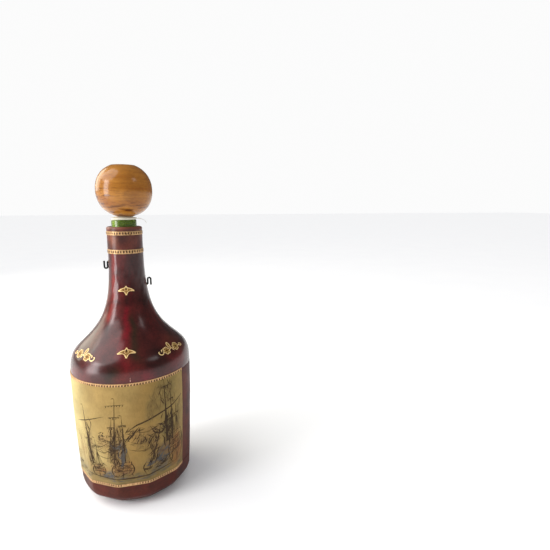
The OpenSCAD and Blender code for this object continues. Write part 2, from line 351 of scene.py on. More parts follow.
def on_leather(phi, z):
    """Drawing plane whose origin lies on the leather at phi and z; x runs right and y up the slope."""
    s0 = s_at(z)

    def place(x, y, lift):
        s = s0 + y
        return surface(phi + np.degrees(x / np.interp(s, S, R)), s, lift)
    return place


# ---------------------------------------------------------------- materials

def srgb(r, g, b):
    """A screen colour as linear values."""
    return tuple(((c / 255 + 0.055) / 1.055) ** 2.4 if c > 10 else c / 3294 for c in (r, g, b))


def tone(r, g, b):
    """The same as an array, for colours that are blended on a mesh."""
    return np.array(srgb(r, g, b))


class Shade:
    """A node material built round one Principled shader."""

    def __init__(self, name, **inputs):
        self.material = bpy.data.materials.new(name)
        self.material.use_nodes = True
        self.tree = self.material.node_tree
        self.shader = self.tree.nodes["Principled BSDF"]
        for key, value in inputs.items():
            socket = self.shader.inputs[key.replace("_", " ")]
            socket.default_value = (*value, 1) if isinstance(value, tuple) else value
        self.coords = self.tree.nodes.new("ShaderNodeTexCoord").outputs["Object"]

    def node(self, kind, **settings):
        node = self.tree.nodes.new("ShaderNode" + kind)
        for key, value in settings.items():
            setattr(node, key, value)
        return node

    def link(self, output, target):
        self.tree.links.new(output, target)

    def scaled(self, x, y, z):
        """Object coordinates stretched by a factor along each axis."""
        mapping = self.node("Mapping")
        mapping.inputs["Scale"].default_value = (x, y, z)
        self.link(self.coords, mapping.inputs["Vector"])
        return mapping.outputs["Vector"]

    def noise(self, scale, detail=3.0, rough=0.55, vector=None, distortion=0.0):
        node = self.node("TexNoise")
        for key, value in (("Scale", scale), ("Detail", detail), ("Roughness", rough),
                           ("Distortion", distortion)):
            node.inputs[key].default_value = value
        self.link(vector or self.coords, node.inputs["Vector"])
        return node.outputs["Fac"]

    def cells(self, scale):
        node = self.node("TexVoronoi")
        node.inputs["Scale"].default_value = scale
        self.link(self.coords, node.inputs["Vector"])
        return node.outputs["Distance"]

    def ramp(self, factor, stops):
        node = self.node("ValToRGB")
        elements = node.color_ramp.elements
        while len(elements) < len(stops):
            elements.new(0.5)
        for element, (position, colour) in zip(elements, stops):
            element.position = position
            element.color = (*colour, 1) if isinstance(colour, tuple) else (colour, colour, colour, 1)
        self.link(factor, node.inputs["Fac"])
        return node.outputs["Color"]

    def mix(self, factor, a, b, blend="MIX"):
        node = self.node("Mix", data_type="RGBA", blend_type=blend)
        for key, value in ((0, factor), (6, a), (7, b)):
            if isinstance(value, tuple):
                node.inputs[key].default_value = (*value, 1)
            elif isinstance(value, (int, float)):
                node.inputs[key].default_value = value
            else:
                self.link(value, node.inputs[key])
        return node.outputs[2]

    def times(self, a, b, factor=1.0):
        return self.mix(factor, a, b, "MULTIPLY")

    # These vertex colours carry painted shade and painted highlights besides the surfaces' own colours.
    def dye_and_painted_light(self):
        return self.node("Attribute", attribute_name="dye_and_painted_light").outputs["Color"]

    def spread(self, factor, low, high):
        """Maps a 0 to 1 value onto low to high."""
        node = self.node("MapRange")
        node.inputs["To Min"].default_value = low
        node.inputs["To Max"].default_value = high
        self.link(factor, node.inputs["Value"])
        return node.outputs["Result"]

    def set(self, name, output):
        self.link(output, self.shader.inputs[name])

    def rough(self, scale, detail, low, high):
        """Lets the roughness wander between low and high."""
        self.set("Roughness", self.spread(self.noise(scale, detail), low, high))

    def bump(self, height, strength, distance_mm):
        node = self.node("Bump")
        node.inputs["Strength"].default_value = strength
        node.inputs["Distance"].default_value = distance_mm * MM
        self.link(height, node.inputs["Height"])
        self.link(node.outputs["Normal"], self.shader.inputs["Normal"])


def leather_material(name, roughness, coat, coat_roughness):
    m = Shade(name, Coat_Weight=coat, Coat_Roughness=coat_roughness, Coat_IOR=1.5,
              Specular_IOR_Level=0.08)
    blotch = m.ramp(m.noise(70, 4, 0.6, distortion=0.4), [(0.32, 0.62), (0.5, 0.95), (0.72, 1.22)])
    fine = m.ramp(m.noise(520, 3, 0.6), [(0.3, 0.78), (0.7, 1.14)])
    colour = m.times(m.dye_and_painted_light(), blotch)
    m.set("Base Color", m.times(colour, fine))
    m.rough(110, 3, roughness - 0.08, roughness + 0.12)
    m.bump(m.mix(0.45, m.cells(620), m.noise(300, 4)), 0.32, 0.25)
    return m.material


def glass_material():
    m = Shade("green_glass", Base_Color=srgb(140, 170, 58), Transmission_Weight=0.78, IOR=1.5,
              Coat_Weight=0.3)
    m.rough(160, 2, 0.16, 0.3)
    m.bump(m.noise(140, 2), 0.15, 0.3)
    return m.material


def paper_material():
    m = Shade("parchment", Coat_Weight=0.12, Coat_Roughness=0.3, Specular_IOR_Level=0.12)
    mottle = m.ramp(m.noise(95, 5, 0.65), [(0.3, 0.84), (0.7, 1.08)])
    fibre = m.ramp(m.noise(700, 3, 0.6, m.scaled(1, 1, 0.4)), [(0.3, 0.92), (0.7, 1.05)])
    colour = m.times(m.dye_and_painted_light(), mottle)
    m.set("Base Color", m.times(colour, fibre))
    m.rough(120, 3, 0.45, 0.6)
    m.bump(m.noise(420, 4), 0.12, 0.2)
    return m.material


def ink_material(name, colour, light):
    m = Shade(name, Specular_IOR_Level=0.12)
    m.set("Base Color", m.ramp(m.noise(260, 4, 0.6), [(0.3, colour), (0.75, light)]))
    m.rough(200, 2, 0.45, 0.6)
    return m.material


def gilt_material(name, bright, dull, metal, roughness):
    m = Shade(name)
    wear = m.noise(330, 5, 0.7)
    m.set("Base Color", m.ramp(wear, [(0.3, dull), (0.5, bright), (0.8, bright)]))
    m.set("Metallic", m.spread(wear, metal - 0.25, metal + 0.1))
    m.rough(500, 3, roughness - 0.1, roughness + 0.15)
    m.bump(m.noise(900, 3), 0.2, 0.1)
    return m.material


def wood_material():
    """Honey-coloured turned wood: soft level rings, fine pores, dark checks where its vertex colour is
    pale; low down on the ball these checks are painted shade.
    """
    m = Shade("honey_wood", Coat_Weight=0.9, Coat_Roughness=0.14, Coat_IOR=1.42,
              Specular_IOR_Level=0.1)
    rings = m.noise(1, 3, 0.55, m.scaled(14, 22, 190), distortion=0.6)
    base = m.ramp(rings, [(0.3, srgb(158, 98, 34)), (0.5, srgb(167, 110, 40)),
                          (0.72, srgb(180, 122, 48))])
    cloud = m.ramp(m.noise(34, 3, 0.5), [(0.35, srgb(232, 222, 216)), (0.62, (1.0, 1.0, 1.0))])
    base = m.times(base, cloud)
    pores = m.ramp(m.noise(1, 2, 0.5, m.scaled(220, 420, 1500)), [(0.36, 0.82), (0.46, 1.0)])
    base = m.times(base, pores, 0.75)
    flecks = m.noise(1, 4, 0.65, m.scaled(70, 110, 520))
    checks = m.ramp(flecks, [(0.38, srgb(110, 60, 26)), (0.5, (1.0, 1.0, 1.0))])
    m.set("Base Color", m.mix(m.dye_and_painted_light(), base, m.times(base, checks)))
    m.rough(200, 3, 0.32, 0.5)
    m.bump(flecks, 0.12, 0.2)
    return m.material


def plastic_material():
    m = Shade("white_plastic", Transmission_Weight=0.15, IOR=1.46)
    m.set("Base Color", m.ramp(m.noise(180, 3), [(0.3, srgb(224, 220, 196)),
                                                 (0.7, srgb(240, 237, 220))]))
    m.rough(260, 2, 0.3, 0.45)
    m.bump(m.noise(380, 2), 0.08, 0.2)
    return m.material


def metal_material(name, dark, light, roughness):
    m = Shade(name, Metallic=0.9)
    m.set("Base Color", m.ramp(m.noise(420, 5, 0.7), [(0.35, dark), (0.7, light)]))
    m.rough(600, 3, roughness - 0.1, roughness + 0.15)
    m.bump(m.noise(1300, 3), 0.15, 0.1)
    return m.material


def felt_material():
    m = Shade("felt", Sheen_Weight=0.5, Sheen_Roughness=0.5)
    m.set("Base Color", m.ramp(m.noise(900, 6, 0.75), [(0.3, srgb(38, 28, 24)),
                                                       (0.7, srgb(70, 54, 44))]))
    m.rough(400, 2, 0.85, 0.98)
    m.bump(m.noise(2200, 4), 0.6, 0.3)
    return m.material


RED_LEATHER = leather_material("red_leather", 0.45, 0.85, 0.2)
WORN_LEATHER = leather_material("worn_leather", 0.5, 0.2, 0.3)
BROWN_LEATHER = leather_material("brown_leather", 0.45, 0.5, 0.26)
GLASS = glass_material()
PAPER = paper_material()
INK = ink_material("sepia_ink", srgb(44, 32, 22), srgb(76, 58, 34))
FAINT_INK = ink_material("faint_ink", srgb(96, 76, 44), srgb(134, 110, 66))
BLUE_INK = ink_material("blue_ink", srgb(60, 58, 62), srgb(98, 94, 84))
GILT_STRIP = gilt_material("gilt_strip", srgb(206, 166, 116), srgb(124, 86, 44), 0.55, 0.42)
GILT_BORDER = gilt_material("gilt_border", srgb(204, 160, 108), srgb(132, 88, 44), 0.2, 0.5)
GILT_FOIL = gilt_material("gilt_foil", srgb(246, 214, 150), srgb(206, 160, 96), 0.35, 0.34)
OLD_GILT = gilt_material("old_gilt", srgb(140, 100, 34), srgb(92, 58, 22), 0.3, 0.45)
# Dark tooled lines, also used for the painted shade beneath the border rope.
TOOLED_AND_SHADE = ink_material("tooled_line_and_shade", srgb(34, 14, 8), srgb(56, 28, 16))
WORN_EDGE = ink_material("worn_edge", srgb(196, 140, 124), srgb(222, 176, 158))
BRASS = metal_material("eyelet_brass", srgb(88, 72, 44), srgb(150, 124, 74), 0.4)
WIRE = metal_material("dark_wire", srgb(30, 32, 34), srgb(58, 60, 60), 0.4)
PLASTIC = plastic_material()
WOOD = wood_material()
FELT = felt_material()


def dress(piece, material, body, slot, *nodes):
    """Gives a piece its material and body, and hides the CAD nodes it stands for; slot is not used."""
    piece.data.materials.clear()
    piece.data.materials.append(material)
    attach(piece, body)
    if nodes:
        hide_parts(*nodes)
    return piece


def lay(strokes, name, material, slot, *nodes):
    """Makes the strokes into one piece on the bottle."""
    dress(strokes.finish(name), material, "bottle", slot, *nodes)


# ---------------------------------------------------------------- leather colours

BURGUNDY = tone(84, 25, 23)
DEEP = tone(48, 18, 16)
RED = tone(130, 34, 26)
CRIMSON = tone(112, 10, 24)
GREEN_BLACK = tone(34, 34, 18)
RUST = tone(120, 58, 34)
BROWN = tone(98, 48, 38)

# Hand-dyed streaks and patches, with painted shade on the right of the neck and a painted highlight on
# the barrel right of the picture: phi, half-width in degrees, low z, high z, colour, strength
STREAKS_AND_PAINTED_LIGHT = [
    (-40, 9, 190, 262, RED, 0.8), (-14, 9, 176, 250, BURGUNDY, 0.5), (0, 6, 172, 206, CRIMSON, 0.85),
    # The DEEP patch at phi 50, 206 to 262 mm high, is painted shade: the dark reflection on the right of
    # the neck.
    (-4, 5, 150, 176, CRIMSON, 0.5), (12, 6, 206, 232, CRIMSON, 0.3), (50, 34, 206, 262, DEEP, 0.9),
    (12, 6, 158, 196, GREEN_BLACK, 0.75), (-14, 7, 139, 153, GREEN_BLACK, 0.85),
    (28, 12, 146, 200, DEEP, 0.55), (-26, 10, 140, 158, DEEP, 0.5), (-4, 8, 138, 148, RED, 0.45),
    (17, 6, 139, 147, CRIMSON, 0.95), (-62, 14, 138, 148, CRIMSON, 0.6),
    (52, 10, 140, 156, CRIMSON, 0.45), (66, 14, 146, 172, RUST, 0.3), (104, 20, 142, 230, DEEP, 0.6),
    (150, 26, 150, 250, RED, 0.35), (-110, 22, 140, 210, DEEP, 0.5), (-160, 18, 146, 240, RUST, 0.3),
    # The RUST streak at phi 64, 30 to 134 mm high, is a painted highlight: the soft light streak on the
    # barrel right of the picture.
    (-66, 10, 200, 232, RUST, 0.4), (64, 5, 30, 134, RUST, 0.5),
]


def leather_colour(phi, z):
    """Dark red leather dyed unevenly: browner low down, with darker blotches and red streaks; painted
    shade darkens the right of the neck and a painted highlight lightens the barrel right of the picture.
    """
    blotch = waves(phi, z, 11, 16, 9, 60)[:, None]
    fine = waves(phi, z, 12, 18, 24, 20)[:, None]
    colour = BURGUNDY + (DEEP - BURGUNDY) * np.clip(0.36 + 0.34 * blotch + 0.16 * fine, 0, 1)
    redder = waves(phi, z, 13, 14, 12, 90)[:, None]
    colour = colour + (RED - colour) * np.clip(0.16 * redder - 0.08, 0, 0.4)
    for middle, half, low, high, shade, strength in STREAKS_AND_PAINTED_LIGHT:
        across = (phi - middle + 180) % 360 - 180 + 2.5 * waves(0, z, 17, 8, 0, 30)
        weight = strength * np.exp(-(across / half) ** 2)
        weight = weight * smoothstep(low - 6, low + 6, z) * (1 - smoothstep(high - 6, high + 6, z))
        colour = colour + (shade - colour) * weight[:, None]
    low_down = (1 - smoothstep(30, 150, z))[:, None]
    return colour + (tone(78, 31, 17) - colour) * 0.7 * low_down


def collar_colour(phi, z):
    blotch = waves(phi, z, 21, 14, 8, 40)[:, None]
    colour = BROWN + (DEEP - BROWN) * np.clip(0.3 + 0.4 * blotch, 0, 1)
    worn = smoothstep(NECK_TOP_Z - 3.5, NECK_TOP_Z - 0.5, z)[:, None]
    colour = colour + (tone(150, 92, 76) - colour) * 0.45 * worn
    # A paler tan patch on the lit left of the collar: partly worn leather, partly painted highlight.
    rubbed_and_highlight = 0.4 * np.exp(-((phi + 36) / 15) ** 2 - ((z - 273) / 6) ** 2)[:, None]
    return colour + (tone(182, 112, 78) - colour) * rubbed_and_highlight


# ---------------------------------------------------------------- leather, glass and base

def leather_pieces():
    cover_low, cover_high = s_at(cad("shoulder_cover", 0, 2)), s_at(cad("shoulder_cover", 1, 2))
    wrap_low, wrap_high = s_at(cad("body_wrap", 0, 2)), s_at(WRAP_TOP_Z)
    heel_high = s_at(HEEL_TOP_Z)
    for name, low, high, node, skin in (
            ("shoulder_leather", cover_low, cover_high, "shoulder_cover", RED_LEATHER),
            ("body_leather", wrap_low, wrap_high, "body_wrap", WORN_LEATHER),
            ("heel_leather", 0.4, heel_high, "heel_cover", WORN_LEATHER)):
        piece = sheet_piece(name, 0, 360, sheet_section(low, high, -LEATHER_T, 0, 0.35, 1.3), 1.5)
        tint(piece, leather_colour)
        dress(piece, skin, "bottle", "red_leather", node)


def collar_piece():
    """Leather collar with a slight waist and a thick edge rolled over the top of the neck."""
    top, low, lip = NECK_TOP_Z, COLLAR_Z, cad("stopper_plug", 1, 0)
    roll = 2.2
    inner = NECK_R - LEATHER_T
    a = np.radians(np.arange(-8, 118, 12))
    outer = [(NECK_R + 0.06 * math.sin(math.pi * t) - 0.18 * math.sin(math.pi * t) ** 2,
              low + (top - roll - low) * t) for t in np.linspace(0.02, 0.94, 22)]
    crown = [(NECK_R - roll + roll * math.cos(t) + 0.12, top - roll + roll * math.sin(t)) for t in a]
    inside = [(lip + 0.25, top - 0.9), (lip + 0.2, top - 1.2), (lip + 0.75, top - 1.5),
              (inner, top - 4.4), (inner, low + 0.2)]
    piece = lathe("collar_leather", outer + crown + inside, 160)
    co = np.array([v.co for v in piece.data.vertices]) / MM
    phi = np.degrees(np.arctan2(co[:, 0], -co[:, 1]))
    out = np.hypot(co[:, 0], co[:, 1])
    wobble = 0.1 * waves(phi, co[:, 2], 31, 10, 7, 25) * smoothstep(low, low + 6, co[:, 2])
    wobble = wobble * smoothstep(inner, NECK_R - 0.6, out)
    for v, extra, radius in zip(piece.data.vertices, wobble, out):
        v.co.x *= 1 + extra / radius
        v.co.y *= 1 + extra / radius
    tint(piece, collar_colour)
    dress(piece, BROWN_LEATHER, "bottle", "brown_leather", "neck_collar")


def glass_piece():
    """The bottle inside the leather, with a fire-polished round lip."""
    skin, wall, bore = 1.75, 3.3, 9.25
    lip_r, lip_z = cad("stopper_plug", 1, 0), cad("glass_bottle", 1, 2)
    floor_z = HEEL_Z + 6.7
    neck_r = NECK_R - skin
    finish_z = NECK_TOP_Z - 2.2
    outer = [(0, HEEL_Z + skin + 0.2), (36, HEEL_Z + skin + 0.2), (50, HEEL_Z + 6), (54.2, HEEL_Z + 16),
             (55.2, HEEL_Z + 30), (57.6, 90), (59.2, 120)]
    shoulder = [(float(np.interp(s, S, R)) - skin * float(np.interp(s, S, DZ)),
                 float(np.interp(s, S, Z)) + skin * float(np.interp(s, S, DR)))
                for s in np.linspace(s_at(138), s_at(256), 40)]
    inside = [(r - wall, z) for r, z in shoulder][::-1]
    lip = rounded([(neck_r, finish_z - 3), (lip_r, finish_z + 0.4), (lip_r + 0.1, lip_z),
                   (bore, lip_z)], [0.6, 0.8, 1.9, 1.1], 6)
    body_in = [(52.6, 120), (51.0, 60), (50.0, HEEL_Z + 20), (44, floor_z + 1.2), (34, floor_z),
               (0, floor_z)]
    profile = outer + shoulder + lip + [(bore, NECK_START_Z + 12), (neck_r - wall, NECK_START_Z + 7)] \
        + inside + body_in
    piece = lathe("glass_body", profile, 144, closed=False)
    dress(piece, GLASS, "bottle", "green_glass", "glass_bottle")


def base_piece():
    radius, top = cad("base_disc", 1, 0), cad("base_disc", 1, 2)
    profile = [(0, 0)] + rounded([(radius, 0), (radius, top)], 0.35, 5) + [(0, top)]
    dress(lathe("felt_base", profile, 128, closed=False), FELT, "bottle", "felt", "base_disc")


# ---------------------------------------------------------------- the picture

PANEL_LOW, PANEL_HIGH = cad("panel_border_bottom", 1, 2), cad("panel_border_top", 0, 2)
PANEL_LEFT, PANEL_RIGHT = -123.0, 57.0
PANEL_GAP, PANEL_TOP = 0.05, 0.45
PANEL_R = 60.0

SUN = tone(188, 170, 112)
TAN = tone(150, 120, 66)
OLIVE = tone(138, 110, 54)
SEA = tone(96, 86, 58)
SLATE = tone(86, 82, 76)
RUSTY = tone(142, 90, 46)
DUSK = tone(74, 56, 54)
SMOKE = tone(118, 88, 58)
MOSS = tone(84, 80, 48)

# Washes of colour on the picture: phi, z, half-width in degrees, half-height in mm, tilt, colour,
# strength
WASHES = [
    (-13, 71, 7, 6, 0.2, DUSK, 0.75), (-8, 62, 2.4, 13, 0.0, SLATE, 0.75),
    (-14, 62, 3.5, 12, 0.0, SMOKE, 0.6), (-12, 85, 8, 9, 0.0, SMOKE, 0.5),
    (3, 86, 5, 6, 0.3, RUSTY, 0.45), (-8, 45, 11, 7, 0.0, RUSTY, 0.7), (-8, 41, 9, 3, 0.0, DUSK, 0.5),
    (-26, 80, 5, 6, 0.0, SMOKE, 0.45), (-33, 44, 8, 6, 0.0, RUSTY, 0.75),
    (-23, 39, 6, 4, 0.0, SLATE, 0.85), (-42, 66, 4, 22, -0.4, SMOKE, 0.55),
    (-56, 62, 9, 16, 0.0, RUSTY, 0.3), (30, 116, 15, 14, 0.35, MOSS, 0.3),
    (36, 128, 12, 8, 0.0, MOSS, 0.2), (17, 106, 5, 9, 0.8, MOSS, 0.35),
    (36, 82, 7, 18, 0.0, MOSS, 0.55), (24, 84, 8, 6, 0.0, SMOKE, 0.45), (12, 80, 9, 8, 0.4, SMOKE, 0.5),
    (22, 66, 6, 14, 0.4, SMOKE, 0.6), (31, 55, 7, 9, 0.3, DUSK, 0.75),
    (46, 58, 8, 17, 0.0, RUSTY, 0.85), (28, 42, 9, 4.5, 0.2, SLATE, 0.8),
    (20, 50, 7, 3, 0.0, DUSK, 0.6), (49, 92, 5, 16, 0.0, MOSS, 0.4), (4, 36.5, 52, 2.6, 0.0, SEA, 0.9),
    (-4, 31.5, 16, 3, 0.0, SEA, 0.6), (-70, 40, 22, 5, 0.0, SEA, 0.6),
    (-84, 66, 9, 16, 0.0, SMOKE, 0.4), (-100, 52, 12, 8, 0.0, RUSTY, 0.4),
    (2, 96, 13, 12, 0.0, TAN, 0.5), (-12, 56, 5, 14, 0.0, SMOKE, 0.5), (48, 46, 8, 12, 0.0, RUSTY, 0.6),
    (38, 60, 5, 14, 0.0, SMOKE, 0.5),
]


def panel_colour(phi, z):
    """Old varnished print: paler on the left, browner in the middle and olive on the right, the paler
    left and darker right partly its own tone and partly painted light falling from the left; darker along
    the lower edge, with a painted highlight along the right edge.
    """
    across = phi + 8 * waves(phi, z, 41, 10, 6, 70)
    # Paler left and darker olive right: partly the print's own tone, partly painted light falling from
    # the left.
    right = smoothstep(-14, 50, across)[:, None]
    middle = (smoothstep(-66, -16, across) * (1 - smoothstep(0, 50, across)))[:, None]
    colour = SUN + (TAN - SUN) * 0.85 * middle + (OLIVE - SUN) * 0.8 * right
    sea = 1 - smoothstep(34, 70, z)
    colour = colour + (SEA - colour) * (0.3 * sea)[:, None]
    cloud = np.clip(waves(phi, z, 42, 16, 14, 26), -1, 1)[:, None]
    colour = colour * (1 + 0.07 * cloud)
    for middle_phi, middle_z, half_w, half_h, tilt, shade, strength in WASHES:
        x = phi - middle_phi - 4.0 * waves(phi, z, 43, 8, 18, 22) / 3
        y = z - middle_z - tilt * x + 2.0 * waves(phi, z, 44, 8, 24, 14)
        weight = strength * np.exp(-np.abs(x / half_w) ** 3 - np.abs(y / half_h) ** 3)
        weight = weight * np.clip(0.85 + 0.3 * waves(phi, z, 45, 14, 60, 6), 0.35, 1.2)
        colour = colour + (shade - colour) * np.clip(weight, 0, 1)[:, None]
    # Darker along the lower edge; the lighter line along the right edge is a painted highlight.
    edge = 0.5 * np.exp(-((z - PANEL_LOW) / 1.5) ** 2) - 0.4 * np.exp(-((phi - PANEL_RIGHT) / 1.2) ** 2)
    return colour * (1 - 0.35 * edge)[:, None]


def on_panel(x, y, lift):
    """Drawing plane of the picture: x in mm round the bottle from the front, y is the height."""
    return surface(np.degrees(x / PANEL_R), s_at(y), lift)


def at(phi):
    """Where a direction in degrees from the front comes on the drawing, in mm."""
    return math.radians(phi) * PANEL_R


def spots(*values):
    """Points on the drawing, from phi, z, phi, z and so on."""
    return [(at(phi), z) for phi, z in zip(values[::2], values[1::2])]


def mast(ink, foot, head, yards, rng, thick=1.5):
    """A lower and an upper mast with shrouds, yards, loosely furled sails and a pennant."""
    foot, head = np.array(spots(*foot, *head), float)
    ink.add([foot, foot + 0.55 * (head - foot)], thick, ends=1)
    ink.add([foot + 0.5 * (head - foot), head], [thick * 0.8, thick * 0.35], ends=0.6)
    for level, half, tilt in yards:
        centre = foot + level * (head - foot)
        left, right = centre - [half, half * tilt], centre + [half, half * tilt]
        ink.add([left, centre, right], [0.4, 0.75, 0.4], ends=0.5)
        for t in np.linspace(-0.85, 0.85, 7):
            start = centre + [half * t, half * t * tilt]
            drop = rng.uniform(1.0, 3.0)
            ink.curve([start, start + [rng.normal(0, 0.4), -drop * 0.6],
                       start + [rng.normal(0, 0.6), -drop]], [0.7, 0.9, 0.3])
    top = foot + 0.55 * (head - foot)
    for side in (-1, 1):
        for k in range(3):
            ink.add([top, foot + [side * (1.6 + 1.3 * k), 0.5]], 0.34, ends=0.7)
    ink.curve([head, head + [-1.4, 0.5], head + [-3.2, -0.1]], [0.9, 0.7, 0.3])


def hull(ink, faint, phi, y, width, height, sheer):
    """A ship seen from astern: swelling sides, a carved stern with two rows of windows, a rudder."""
    x, w = at(phi), width / 2
    left = [(x - w * 0.72, y + height), (x - w, y + height * 0.55), (x - w * 0.86, y + height * 0.2),
            (x - w * 0.45, y)]
    right = [(2 * x - px, py + sheer) for px, py in left]
    ink.curve(left, [0.8, 1.3, 1.2, 0.6])
    ink.curve(right, [0.8, 1.3, 1.2, 0.6])
    for level in (0.38, 0.6, 0.82, 1.0):
        half = w * (0.96 - 0.24 * abs(level - 0.5) * 2)
        ink.curve([(x - half, y + height * level), (x, y + height * level + sheer / 2 + 0.8),
                   (x + half, y + height * level + sheer)], [0.5, 0.8, 0.5])
    for level in (0.49, 0.71):
        for t in np.linspace(-0.62, 0.62, 5):
            px, py = x + w * t, y + height * level + sheer * (t + 1) / 2 + 0.3
            size = height * 0.06
            ink.add([(px - size, py - size), (px - size, py + size), (px + size, py + size),
                     (px + size, py - size), (px - size, py - size)], 0.45, step=0.6, ends=1)
    for t in np.linspace(-0.9, 0.9, 9):
        faint.curve([(x + w * t * 0.62, y + 0.4), (x + w * t * 0.9, y + height * 0.2),
                     (x + w * t, y + height * 0.38)], 0.5)
    ink.add([(x, y + height * 0.38), (x, y - 1.5)], [1.3, 0.7])
    for t in (-0.6, 0, 0.6):
        ink.add([(x + w * t, y + height), (x + w * t, y + height + 2.4)], [0.6, 1.2])


def boat(ink, faint, phi, y, length):
    """A rowing boat with a few oars."""
    x = at(phi)
    ink.curve([(x - length / 2, y + 1.8), (x - length / 4, y + 0.3), (x + length / 4, y + 0.2),
               (x + length / 2, y + 2.1)], [0.6, 1.9, 1.9, 0.6])
    ink.curve([(x - length / 2, y + 1.8), (x, y + 1.2), (x + length / 2, y + 2.1)], 0.5)
    for t in (-0.3, -0.05, 0.2):
        faint.add([(x + length * t, y + 1.4), (x + length * t - 2.6, y - 1.4)], 0.5)


def thicket(strokes, phi, y, half_w, half_h, count, length, width, lean, spread, rng):
    """Short bowed strokes crossing near one place, as rigging, canvas and shadow are drawn."""
    for _ in range(count):
        a = math.radians(lean + spread * rng.normal())
        half = length * rng.uniform(0.25, 0.6)
        cx, cy = at(phi + half_w * rng.uniform(-1, 1)), y + half_h * rng.uniform(-1, 1)
        dx, dy, bow = half * math.cos(a), half * math.sin(a), rng.normal(0, 0.2)
        wide = width * rng.uniform(0.6, 1.2)
        strokes.curve([(cx - dx, cy - dy), (cx - dy * bow, cy + dx * bow), (cx + dx, cy + dy)],
                      [wide * 0.4, wide, wide * 0.25])


# Places where the drawing thickens: ink, phi, z, half-width in degrees, half-height in mm, number of
# strokes, their length and width in mm, lean and spread in degrees
THICKETS = [
    ("ink", -12, 84, 7, 9, 34, 10, 0.7, 86, 12), ("ink", -13, 70, 8, 5, 30, 7, 1.3, 25, 35),
    ("blue", -8, 62, 2.2, 11, 12, 12, 1.5, 84, 8), ("ink", -15, 60, 3.5, 10, 16, 9, 1.1, 80, 14),
    ("ink", -10, 46, 10, 7, 34, 5, 1.0, 20, 50), ("faint", -27, 73, 8, 8, 26, 9, 0.7, -12, 22),
    ("ink", -27, 82, 3.5, 5, 10, 5, 1.1, 20, 40), ("ink", -42, 74, 3, 22, 20, 14, 0.9, 108, 8),
    ("faint", -54, 64, 8, 16, 34, 13, 0.6, 95, 12), ("ink", -35, 47, 8, 6, 26, 6, 1.0, 150, 40),
    ("blue", -23, 39, 6, 3, 16, 6, 1.5, 10, 25), ("ink", 3, 82, 7, 8, 22, 8, 0.9, 50, 35),
    ("faint", 10, 78, 9, 11, 44, 8, 0.8, 40, 40), ("ink", 15, 72, 5, 8, 14, 8, 0.9, 60, 35),
    ("ink", 21, 64, 5, 15, 34, 10, 1.1, 66, 18), ("ink", 28, 84, 7, 5, 14, 9, 1.1, 165, 25),
    ("ink", 36, 82, 6, 17, 44, 12, 1.1, 84, 12), ("faint", 18, 107, 4, 9, 18, 11, 0.9, 78, 14),
    ("faint", 32, 118, 13, 12, 52, 11, 0.9, 88, 18), ("ink", 35, 122, 7, 11, 22, 9, 0.8, 84, 22),
    ("blue", 31, 54, 6, 8, 22, 8, 1.5, 60, 30), ("ink", 30, 45, 8, 5, 22, 7, 1.1, 20, 25),
    ("ink", 46, 58, 7, 15, 34, 9, 0.9, 50, 28), ("blue", 20, 49, 6, 2.5, 12, 7, 1.2, 8, 18),
    ("faint", 50, 92, 4, 16, 26, 11, 0.7, 88, 16), ("faint", -90, 62, 16, 16, 50, 10, 0.7, 86, 24),
]


